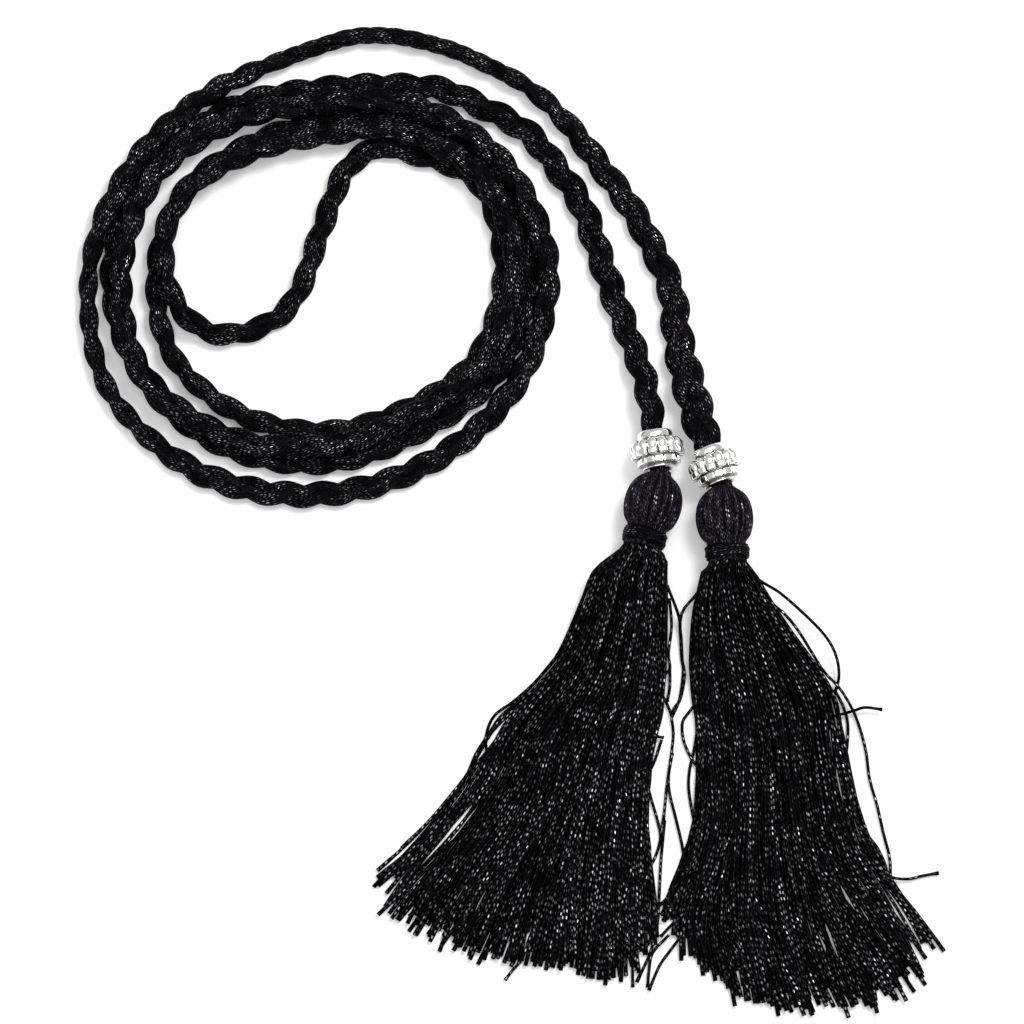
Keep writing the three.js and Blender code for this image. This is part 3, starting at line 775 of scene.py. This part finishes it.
heads = [make_head("left", 5), make_head("right", 7)]

# %% [markdown]
# ## The bound necks
# A thread is wound round the neck to hold the tassel together. It is a helix that goes down
# the neck turn by turn, and a last loop that runs back slantwise over the turns.

# %% wind the necks
WINDING_LAYERS = [  # turns, how far the layer stands out, and how much of the neck it covers
    {"turns": 11, "out": 0.0, "cover": 1.0},
    {"turns": 5, "out": 0.75, "cover": 0.7},
    {"turns": 1.5, "out": 1.3, "cover": -0.8},
]
WINDING_RADIUS = 0.22 * MM
WINDING_POINTS = 330
WINDING_SLANT = 0.5 * MM


def make_winding(side, seed):
    dice = random.Random(seed)
    end = ENDS[side]
    place = place_of(end, end["head_lean"])
    bed = NECK_RADIUS + 0.12 * MM + WINDING_RADIUS
    half = WRAP_LENGTH / 2 - WINDING_SLANT - WINDING_RADIUS
    lines = []
    for layer in WINDING_LAYERS:
        wobble, slant = dice.uniform(0, 6), dice.uniform(-1, 1) * WINDING_SLANT
        line = []
        for i in range(WINDING_POINTS):
            share = i / (WINDING_POINTS - 1)
            angle = 2 * math.pi * layer["turns"] * share + wobble
            height = blend(half, -half, share) * layer["cover"]
            height += slant * math.sin(angle) + 0.08 * MM * math.sin(3.1 * angle + wobble)
            radius = bed + layer["out"] * WINDING_RADIUS
            line.append(place @ Vector((radius * math.cos(angle), height, radius * math.sin(angle))))
        lines.append(line)
    radii = [[WINDING_RADIUS] * WINDING_POINTS for _ in lines]
    winding = spin_threads(f"winding_{side}", lines, radii, sides=8)
    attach(winding, "root")
    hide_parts(f"neck_wrap_{side}")
    print(f"winding_{side}: {triangles_in(winding)} triangles")
    return winding


windings = [make_winding("left", 3), make_winding("right", 4)]

# %% [markdown]
# ## The beads
# Each bead is a cast barrel with a plain collar, a ring of petals round its belly, a row of
# blocks that stand out under them, and a lower ring of square bosses. The barrel is spun from a
# profile with its bore. The petals are stretched balls and the rest are blocks with soft edges.
# Every corner also keeps a number that says whether it lies in a hollow, for the painted shade in the
# metal's colour.

# %% the bead's barrel and ornaments
PETALS = 14
BARREL_PROFILE = [  # radius and height above the bead's middle, in millimetres
    (2.85, -4.5), (3.75, -4.5), (4.0, -4.4), (4.0, -4.15), (3.7, -4.0), (3.9, -3.8),
    (4.15, -3.4), (4.3, -2.2), (4.0, -1.9), (4.3, -1.5), (4.8, -0.6), (4.8, 1.1), (4.2, 2.0),
    (3.75, 2.25), (3.85, 2.4), (4.08, 2.75), (4.15, 3.45), (4.0, 4.15), (3.7, 4.45), (3.3, 4.5),
    (2.85, 4.3),
]
HOLLOW_BAND = (-4.05, 2.3)  # the barrel is painted dark between these heights, as painted shade
# In ORNAMENTS, at is the radius and height of a piece's middle, in millimetres like its size.
# soft is how far a block's edges are rounded, and turn is in steps from petal to petal.
ORNAMENTS = [
    {"at": (4.95, 0.65), "size": (2.55, 3.5, 2.6), "soft": None, "turn": 0.0},
    {"at": (5.3, -0.9), "size": (1.8, 1.65, 2.05), "soft": 0.42, "turn": 0.0},
    {"at": (4.45, -2.75), "size": (1.1, 1.5, 2.0), "soft": 0.24, "turn": 0.5},
]


def ornament(work, at, size, soft):
    """A block on the X axis with rounded edges, or a ball where soft is None. Gives its vertices."""
    stretch = Matrix.Diagonal((*size, 1))
    move = Matrix.Translation(Vector((at[0] * MM, at[1] * MM, 0)))
    if soft is None:
        made = bmesh.ops.create_uvsphere(work, u_segments=18, v_segments=14, radius=0.5 * MM)
        bmesh.ops.transform(work, matrix=move @ stretch, verts=made["verts"])
        return made["verts"]
    made = bmesh.ops.create_cube(work, size=MM)
    bmesh.ops.transform(work, matrix=move @ stretch, verts=made["verts"])
    edges = list({edge for corner in made["verts"] for edge in corner.link_edges})
    rounded = bmesh.ops.bevel(
        work, geom=edges, offset=soft * MM, offset_type="OFFSET", affect="EDGES",
        segments=3, profile=0.5, material=-1, clamp_overlap=True,
    )
    return list({corner for face in rounded["faces"] for corner in face.verts})


def make_bead(side):
    end = ENDS[side]
    work = bmesh.new()
    hollow_shade = work.verts.layers.float.new("hollow_shade")
    corners = [work.verts.new((radius * MM, height * MM, 0)) for radius, height in BARREL_PROFILE]
    edges = [work.edges.new(pair) for pair in zip(corners, corners[1:] + corners[:1])]
    bmesh.ops.spin(
        work, geom=corners + edges, cent=(0, 0, 0), axis=(0, 1, 0), angle=2 * math.pi,
        steps=72, use_merge=True,
    )
    bmesh.ops.remove_doubles(work, verts=work.verts, dist=1e-6)
    bmesh.ops.recalc_face_normals(work, faces=work.faces)
    # Corners in the barrel's band and under the ornaments get 1, which paints them in shade.
    for corner in work.verts:
        corner[hollow_shade] = 1.0 if HOLLOW_BAND[0] < corner.co.y / MM < HOLLOW_BAND[1] else 0.0
    for row in ORNAMENTS:
        raised = (row["at"][0] + row["size"][0] * 0.2) * MM
        for i in range(PETALS):
            corners = ornament(work, row["at"], row["size"], row["soft"])
            for corner in corners:
                corner[hollow_shade] = 0.0 if corner.co.x > raised else 1.0
            turn = Matrix.Rotation(2 * math.pi * (i + row["turn"]) / PETALS, 4, "Y")
            bmesh.ops.transform(work, matrix=turn, verts=corners)
    for face in work.faces:
        face.smooth = True
    foot = end["bead_foot"] + BEAD_LENGTH / 2
    top = along_lean(on_table(end["neck"]), end["head_lean"], WRAP_LENGTH / 2 + HEAD_LENGTH)
    middle = along_lean(top, end["bead_lean"], foot)
    middle.z = AXIS_HEIGHT
    place = Matrix.Translation(middle) @ Matrix.Rotation(math.radians(end["bead_lean"]), 4, "Z")
    bmesh.ops.transform(work, matrix=place, verts=work.verts)
    piece = piece_from(work, f"cast_bead_{side}")
    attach(piece, "root")
    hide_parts(f"bead_{side}")
    off = (middle - middle_of(f"bead_{side}")).length
    print(f"cast_bead_{side}: {triangles_in(piece)} triangles, {off / MM:.2f} mm from the solid's middle")
    return piece


beads = [make_bead("left"), make_bead("right")]

# %% [markdown]
# ## Writing a material as arithmetic
# A material is a graph of nodes, and its sums are easier to read as sums. The class below wraps
# one socket, and Python's own operators add the Math nodes between sockets.


# %% a small class for shader arithmetic
class Value:
    """A number in a material that Python's operators work on."""

    def __init__(self, paint, socket):
        self.paint = paint
        self.socket = socket

    def math(self, operation, *others):
        return self.paint.node("ShaderNodeMath", {"operation": operation}, dict(enumerate((self, *others))))

    def __add__(self, other):
        return self.math("ADD", other)

    __radd__ = __add__

    def __mul__(self, other):
        return self.math("MULTIPLY", other)

    __rmul__ = __mul__

    def __sub__(self, other):
        return self.math("SUBTRACT", other)

    def __rsub__(self, other):
        return self * -1 + other

    def __truediv__(self, other):
        return self.math("DIVIDE", other)

    def __pow__(self, other):
        return self.math("POWER", other)

    def floor(self):
        return self.math("FLOOR")

    def fraction(self):
        return self.math("FRACT")

    def between(self, low, high):
        """0 below low, 1 above high and a soft step between."""
        settings = {"interpolation_type": "SMOOTHSTEP"}
        return self.paint.node("ShaderNodeMapRange", settings, {0: self, 1: low, 2: high})


class Paint:
    """A material that is being made, with one method that adds any node."""

    def __init__(self, name):
        self.material = bpy.data.materials.new(name)
        self.material.use_nodes = True
        self.tree = self.material.node_tree
        self.tree.nodes.clear()

    def node(self, kind, settings=None, inputs=None, output=0):
        """Adds a node, sets its settings and then its sockets, and gives one of its outputs."""
        made = self.tree.nodes.new(kind)
        for key, value in (settings or {}).items():
            setattr(made, key, value)
        for key, value in (inputs or {}).items():
            if isinstance(value, Value):
                self.tree.links.new(value.socket, made.inputs[key])
            else:
                made.inputs[key].default_value = value
        return Value(self, made.outputs[output])

    def mix(self, share, low, high):
        """A colour between two colours."""
        settings = {"data_type": "RGBA"}
        return self.node("ShaderNodeMix", settings, {0: share, 6: low, 7: high}, output=2)

    def finish(self, **sockets):
        """The surface itself. Names are the shader's sockets, with _ for a space."""
        inputs = {name.replace("_", " "): value for name, value in sockets.items()}
        surface = self.node("ShaderNodeBsdfPrincipled", None, inputs)
        output = self.tree.nodes.new("ShaderNodeOutputMaterial")
        self.tree.links.new(surface.socket, output.inputs["Surface"])
        return self.material


print("shader arithmetic is ready")

# %% [markdown]
# ## Black thread with a metallic fleck
# All the soft pieces are of one yarn: two black plies twisted together with a filament of metal
# foil that shows once in each twist as a small bright dash. A picture could be wrapped on, but
# the twist is a simple pattern on the thread's own map. The map is cut into lanes across and
# into twists along. Each cell has one dash in the middle of its lane, and the dash slips a
# little along. A fringe's thread has one lane on top and one below, so its dashes lie in a row.
# In the plait, the heads and the windings the lanes turn round the thread as they go. One
# random number for each cell and one for each ridge or side of a thread say how bright a dash
# is: most are grey, a few are bright, and some patches, painted as shade, have none. The second
# number also makes the black itself lighter or darker, in streaks that are partly painted sheen.


# %% the yarn's material
BLACK_DEEP = (0.0002, 0.0002, 0.0003, 1)
# The lighter fibre colours are partly the yarn's own tone and partly painted sheen.
PLAIT_FIBRE_AND_SHEEN = (0.014, 0.012, 0.016, 1)
FRINGE_FIBRE = (0.011, 0.0095, 0.0125, 1)
HEAD_FIBRE_AND_SHEEN = (0.088, 0.076, 0.101, 1)  # lighter, as painted sheen where the threads are drawn tight over the heads
WOUND_FIBRE = (0.016, 0.014, 0.018, 1)
FOIL = (0.86, 0.86, 0.9, 1)
SLANT = 0.45  # how far a dash leans along over its lane's width, in twists
SLIP = 0.36  # how far a dash may lie from its place along the thread, in twists
PATCH_EDGE = 0.12  # how softly a bare patch of painted shade begins


def window(value, low, high, soft=0.08):
    """1 between low and high, with soft ends."""
    return value.between(low - soft, low + soft) * (1 - value.between(high - soft, high + soft))


def flecked_yarn(name, twist, lanes, spiral, lit, patch, fibre_and_sheen):
    """Black yarn: twist in millimetres, lanes to a thread of the map, how many lanes they turn
    round the thread in a millimetre, how bright the dashes are, how much of the yarn is bare of
    them as painted shade, and the colour of its lightest fibres, which also paint its sheen."""
    paint = Paint(name)
    place = paint.node("ShaderNodeUVMap", {"uv_map": "thread"})
    round_it = paint.node("ShaderNodeSeparateXYZ", None, {0: place}, output=0)
    along = paint.node("ShaderNodeSeparateXYZ", None, {0: place}, output=1)
    across = round_it * lanes + along * spiral
    lane = across.floor()
    side = across.fraction()
    start = paint.node("ShaderNodeTexWhiteNoise", {"noise_dimensions": "1D"}, {"W": lane})
    crest_number = (round_it + 0.5).floor()  # one for a strand's ridge, or for a thread's side
    tone = paint.node("ShaderNodeTexWhiteNoise", {"noise_dimensions": "1D"}, {"W": crest_number})
    turn = along / twist + side * SLANT + start * 7
    ply = turn.fraction()
    cell = paint.node("ShaderNodeCombineXYZ", None, {0: lane, 1: turn.floor()})
    chance = paint.node("ShaderNodeTexWhiteNoise", {"noise_dimensions": "2D"}, {"Vector": cell})
    spot = paint.node("ShaderNodeTexCoord", output=3)
    patches = paint.node("ShaderNodeTexNoise", None, {"Vector": spot, "Scale": 230, "Detail": 1})
    # Painted shade: noise patches where the foil gets no dashes, standing in for where the light catches
    # none.
    glint_lit_patches = patches.between(patch - PATCH_EDGE, patch + PATCH_EDGE)
    shine = chance ** 2.2 * (tone ** 2 * 1.5 + 0.15) * glint_lit_patches
    slip = (chance * 37).fraction() * SLIP
    fleck = window(ply + slip, 0.42, 0.82) * window(side, 0.4, 0.6) * shine * lit
    drawn_out = paint.node("ShaderNodeCombineXYZ", None, {0: across, 1: along * 0.4})
    fibre = paint.node("ShaderNodeTexNoise", None, {"Vector": drawn_out, "Scale": 4, "Detail": 2})
    # Streaks of lighter fibre: partly random tone, partly painted sheen in place of a real highlight.
    light = fibre.between(0.44, 0.72) * (tone * 1.3 + 0.05)
    colour = paint.mix(fleck, paint.mix(light, BLACK_DEEP, fibre_and_sheen), FOIL)
    crest = 1 - (ply * 2 - 1) ** 2
    ridge = 1 - (side * 2 - 1) ** 2
    relief = paint.node(
        "ShaderNodeBump", None,
        {"Strength": 0.7, "Distance": 0.1 * MM, "Height": crest * 0.5 + ridge + fibre * 0.4},
    )
    return paint.finish(
        Base_Color=colour, Metallic=fleck, Roughness=0.5 - fleck * 0.2,
        Specular_IOR_Level=0.02, Normal=relief,
    )


cord_yarn = flecked_yarn("cord_yarn", 1.1, 2, 0.4, 1.1, 0.49, PLAIT_FIBRE_AND_SHEEN)
fringe_yarn = flecked_yarn("fringe_yarn", 1.5, 2, 0, 0.58, 0.42, FRINGE_FIBRE)
head_yarn = flecked_yarn("head_yarn", 1.2, 2, 0.15, 0.9, 0.44, HEAD_FIBRE_AND_SHEEN)
winding_yarn = flecked_yarn("winding_yarn", 1.1, 2, 0.1, 0.45, 0.48, WOUND_FIBRE)
print("yarns:", cord_yarn.name, fringe_yarn.name, head_yarn.name, winding_yarn.name)

# %% [markdown]
# ## Plain black wool under the threads
# The core of a head hardly shows between its threads. It is a plain black that needs no map.


# %% the core's material
def core_wool():
    paint = Paint("core_wool")
    spot = paint.node("ShaderNodeTexCoord", output=3)
    grain = paint.node("ShaderNodeTexNoise", None, {"Vector": spot, "Scale": 2500, "Detail": 2})
    colour = paint.mix(grain, (0.002, 0.002, 0.002, 1), (0.008, 0.008, 0.009, 1))
    relief = paint.node("ShaderNodeBump", None, {"Strength": 0.5, "Distance": 0.1 * MM, "Height": grain})
    return paint.finish(Base_Color=colour, Roughness=0.7, Specular_IOR_Level=0.2, Normal=relief)


core_black = core_wool()
print("core:", core_black.name)

# %% [markdown]
# ## Silver-plated casting
# The bead is bright metal with soft casting marks, and its hollows are painted dark as shade. The
# hollows come from the number that each corner of the bead keeps.


# %% the bead's material
def cast_silver():
    paint = Paint("cast_silver")
    spot = paint.node("ShaderNodeTexCoord", output=3)
    fine = paint.node("ShaderNodeTexNoise", None, {"Vector": spot, "Scale": 1400, "Detail": 3})
    broad = paint.node("ShaderNodeTexNoise", None, {"Vector": spot, "Scale": 420, "Detail": 1})
    depth = paint.node("ShaderNodeAttribute", {"attribute_name": "hollow_shade"}, output=2)
    # Painted shade: the hollows are made dark in the metal's colour.
    hollow_shade = (depth + (fine - 0.5) * 0.3).between(0.5, 1.05)
    colour = paint.mix(hollow_shade, (0.98, 0.98, 0.97, 1), (0.2, 0.195, 0.19, 1))
    relief = paint.node(
        "ShaderNodeBump", None, {"Strength": 0.2, "Distance": 0.1 * MM, "Height": fine + broad * 2},
    )
    return paint.finish(
        Base_Color=colour, Metallic=1.0, Roughness=0.14 + fine * 0.12, Normal=relief,
    )


bead_silver = cast_silver()
for piece in beads:
    piece.data.materials.append(bead_silver)
for piece in fringes + loose_threads:
    piece.data.materials.append(fringe_yarn)
for piece in windings:
    piece.data.materials.append(winding_yarn)
for threads, core in heads:
    threads.data.materials.append(head_yarn)
    core.data.materials.append(core_black)
plait.data.materials.append(cord_yarn)
print("materials are on every piece")

# %% [markdown]
# ## The table and the light
# The object lies on a white sheet in soft studio light. The main light comes from the upper
# right, so the shadows fall faintly to the lower left. A broad light high overhead fills them,
# and gives the metal something bright to mirror. The rest comes from all around. The sheet
# glows a little, like one that is lit from behind, which keeps its shadows pale.

# %% a white floor
FLOOR_SIZE = 3.0
GLOW = 0.15


def make_floor():
    work = bmesh.new()
    bmesh.ops.create_grid(work, x_segments=1, y_segments=1, size=FLOOR_SIZE / 2)
    floor = piece_from(work, "floor")
    paint = Paint("white_sheet")
    floor.data.materials.append(paint.finish(
        Base_Color=(0.9, 0.9, 0.91, 1), Roughness=0.9, Specular_IOR_Level=0.1,
        Emission_Color=(1, 1, 1, 1), Emission_Strength=GLOW,
    ))
    floor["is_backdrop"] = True


make_floor()
print(f"floor: {FLOOR_SIZE} m wide")

# %% soft studio light
KEY_PLACE = Vector((0.55, 0.5, 1.45))
KEY_SIZE = 0.5
KEY_POWER = 14
OVERHEAD_PLACE = Vector((0, -0.3, 4.6))  # above the camera, so it isn't in the picture
OVERHEAD_SIZE = 5.0
OVERHEAD_POWER = 105
AROUND = 0.5


def aim_light(name, place, size, power):
    data = bpy.data.lights.new(name, "AREA")
    data.shape = "SQUARE"
    data.size = size
    data.energy = power
    light = add_to_scene(name, data)
    light.location = place
    light.rotation_euler = (-place).to_track_quat("-Z", "Y").to_euler()


aim_light("key_light", KEY_PLACE, KEY_SIZE, KEY_POWER)
aim_light("overhead", OVERHEAD_PLACE, OVERHEAD_SIZE, OVERHEAD_POWER)
world = bpy.data.worlds.new("studio")
world.use_nodes = True
world.node_tree.nodes["Background"].inputs["Color"].default_value = (1, 1, 1, 1)
world.node_tree.nodes["Background"].inputs["Strength"].default_value = AROUND
bpy.context.scene.world = world
bpy.context.scene.view_settings.view_transform = "Standard"
print(f"key light {KEY_POWER} W, overhead {OVERHEAD_POWER} W, surroundings {AROUND}")

# %% [markdown]
# ## Sizes, and the end
# The dressed model's box is measured beside the solid one's, and how far it has grown is printed.
# The dressed model should keep close to the solid one's box.

# %% measure both boxes, print the growth and finish
DRESSED_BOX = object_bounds()
solid_size = CAD_BOX[1] - CAD_BOX[0]
dressed_size = DRESSED_BOX[1] - DRESSED_BOX[0]
print("grown:", [round((new - old) / MM, 2) for old, new in zip(solid_size, dressed_size)])
